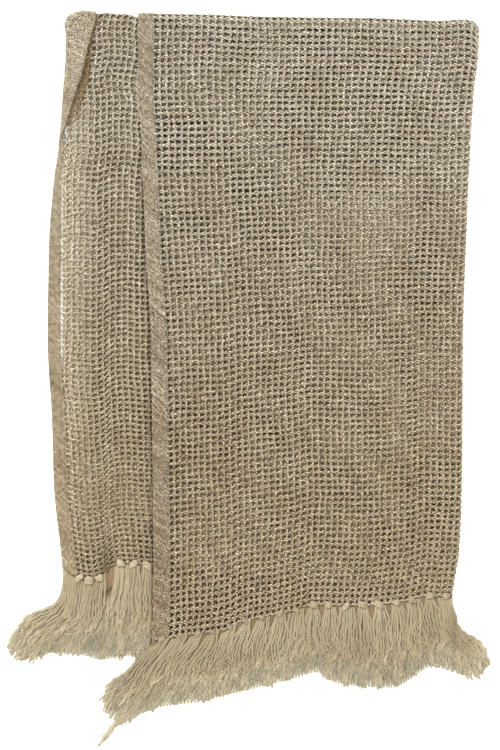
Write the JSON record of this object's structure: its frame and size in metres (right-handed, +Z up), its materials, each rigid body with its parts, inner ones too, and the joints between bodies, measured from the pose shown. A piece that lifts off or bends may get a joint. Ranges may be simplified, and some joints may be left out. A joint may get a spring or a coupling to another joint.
{
  "type": "crochet throw blanket",
  "caption": "Open crochet net throw of undyed cotton with knotted fringe ends, folded in half lengthwise and then crosswise, lying flat with its edges uneven.",
  "frame": {"origin": "middle of the folded throw on the surface it lies on, under its lowest layer", "axes": "+X across the throw to its lengthwise fold, +Y along it from the fringe to its crosswise fold, +Z up through its layers"},
  "size_m": [0.6439, 0.9799, 0.0168],
  "materials": {
    "cotton_net": "open crochet net of undyed cotton yarn, matt",
    "cotton_yarn": "loose ends of undyed cotton yarn, matt, knotted at the hem"
  },
  "bodies": {
    "root": {"throw_cloth": "cotton_net", "fringe_top": "cotton_yarn", "fringe_third": "cotton_yarn", "fringe_second": "cotton_yarn", "fringe_floor": "cotton_yarn"}
  },
  "joints": []
}
